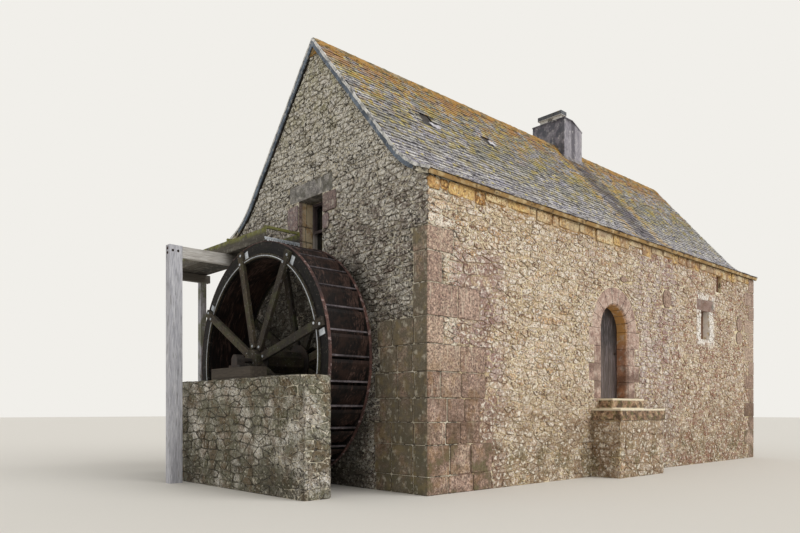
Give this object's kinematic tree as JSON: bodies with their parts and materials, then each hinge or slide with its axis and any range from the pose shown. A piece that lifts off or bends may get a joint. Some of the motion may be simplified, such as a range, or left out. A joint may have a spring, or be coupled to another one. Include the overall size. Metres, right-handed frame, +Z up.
{
  "type": "watermill",
  "caption": "Stone watermill with a flared slate roof, a chimney, an arched door and an overshot wheel on its gable, fed by a timber launder on trestles.",
  "frame": {"origin": "on the ground, where the plane of the ridge meets the outer face of the wheel gable", "axes": "+X along the eaves, away from the wheel; +Y across the house, away from the door; +Z up"},
  "size_m": [14.782, 7.495, 8.865],
  "materials": {
    "rubble_stone": "rough rubble in lime mortar",
    "dressed_stone": "tooled granite",
    "roof_slate": "split slate with lichen",
    "verge_slate": "slate hung on the roof's edge",
    "ridge_mortar": "mortared capping with lichen",
    "cement_render": "smooth cement render",
    "wet_timber": "oak, black with water",
    "arm_timber": "oak, damp and green",
    "launder_timber": "mossy plank",
    "trestle_timber": "weathered to silver grey",
    "door_timber": "weathered planks",
    "shutter_timber": "faded brown boards",
    "window_timber": "bleached frame",
    "floor_timber": "plain sawn boards",
    "cast_iron": "rusted",
    "wrought_iron": "black, forged",
    "window_glass": "old sheet glass"
  },
  "bodies": {
    "mill": {"wheel_gable_wall": "rubble_stone", "far_gable_wall": "rubble_stone", "back_wall": "rubble_stone", "front_wall_left": "rubble_stone", "front_wall_right": "rubble_stone", "front_wall_over_door": "rubble_stone", "front_wall_under_door": "rubble_stone", "door_inner_lintel": "floor_timber", "door_jambs": "dressed_stone", "door_arch": "dressed_stone", "door_sill": "dressed_stone", "entrance_step": "dressed_stone", "entrance_base": "rubble_stone", "window_lintels": "dressed_stone", "gable_window_frame": "window_timber", "gable_window_glass": "window_glass", "window_shutters": "shutter_timber", "roof_front": "roof_slate", "roof_back": "roof_slate", "ridge_cap": "ridge_mortar", "verge_strips": "verge_slate", "chimney_stack": "cement_render", "chimney_slab": "cement_render", "chimney_cover": "verge_slate", "ground_floor": "floor_timber", "floor_joists": "floor_timber", "door_pintles": "wrought_iron", "axle_bearings": "cast_iron", "bearing_beam": "trestle_timber", "pit_wall": "rubble_stone", "launder_sides": "launder_timber", "launder_bed": "launder_timber", "launder_cross_bars": "launder_timber", "trestle_posts": "trestle_timber", "trestle_beams": "trestle_timber"},
    "door": {"door_leaf": "door_timber", "door_ledges": "door_timber", "door_ironwork": "wrought_iron"},
    "waterwheel": {"wheel_shroud_outer": "wet_timber", "wheel_shroud_inner": "wet_timber", "wheel_arms_outer": "arm_timber", "wheel_arms_inner": "arm_timber", "wheel_hub_plates": "cast_iron", "wheel_sole_boards": "wet_timber", "wheel_bucket_floors": "wet_timber", "wheel_bucket_fronts": "wet_timber", "wheel_axle": "arm_timber", "wheel_gudgeons": "cast_iron"}
  },
  "joints": [
    {"name": "wheel_spin", "type": "hinge", "parent": "mill", "child": "waterwheel", "pos_m": [-0.675, 0.15, 2.13], "axis": [1, 0, 0], "continuous": true},
    {"name": "door_swing", "type": "hinge", "parent": "mill", "child": "door", "pos_m": [4.825, -2.55, 2.5], "axis": [0, 0, 1], "range_deg": [0, 90]}
  ]
}
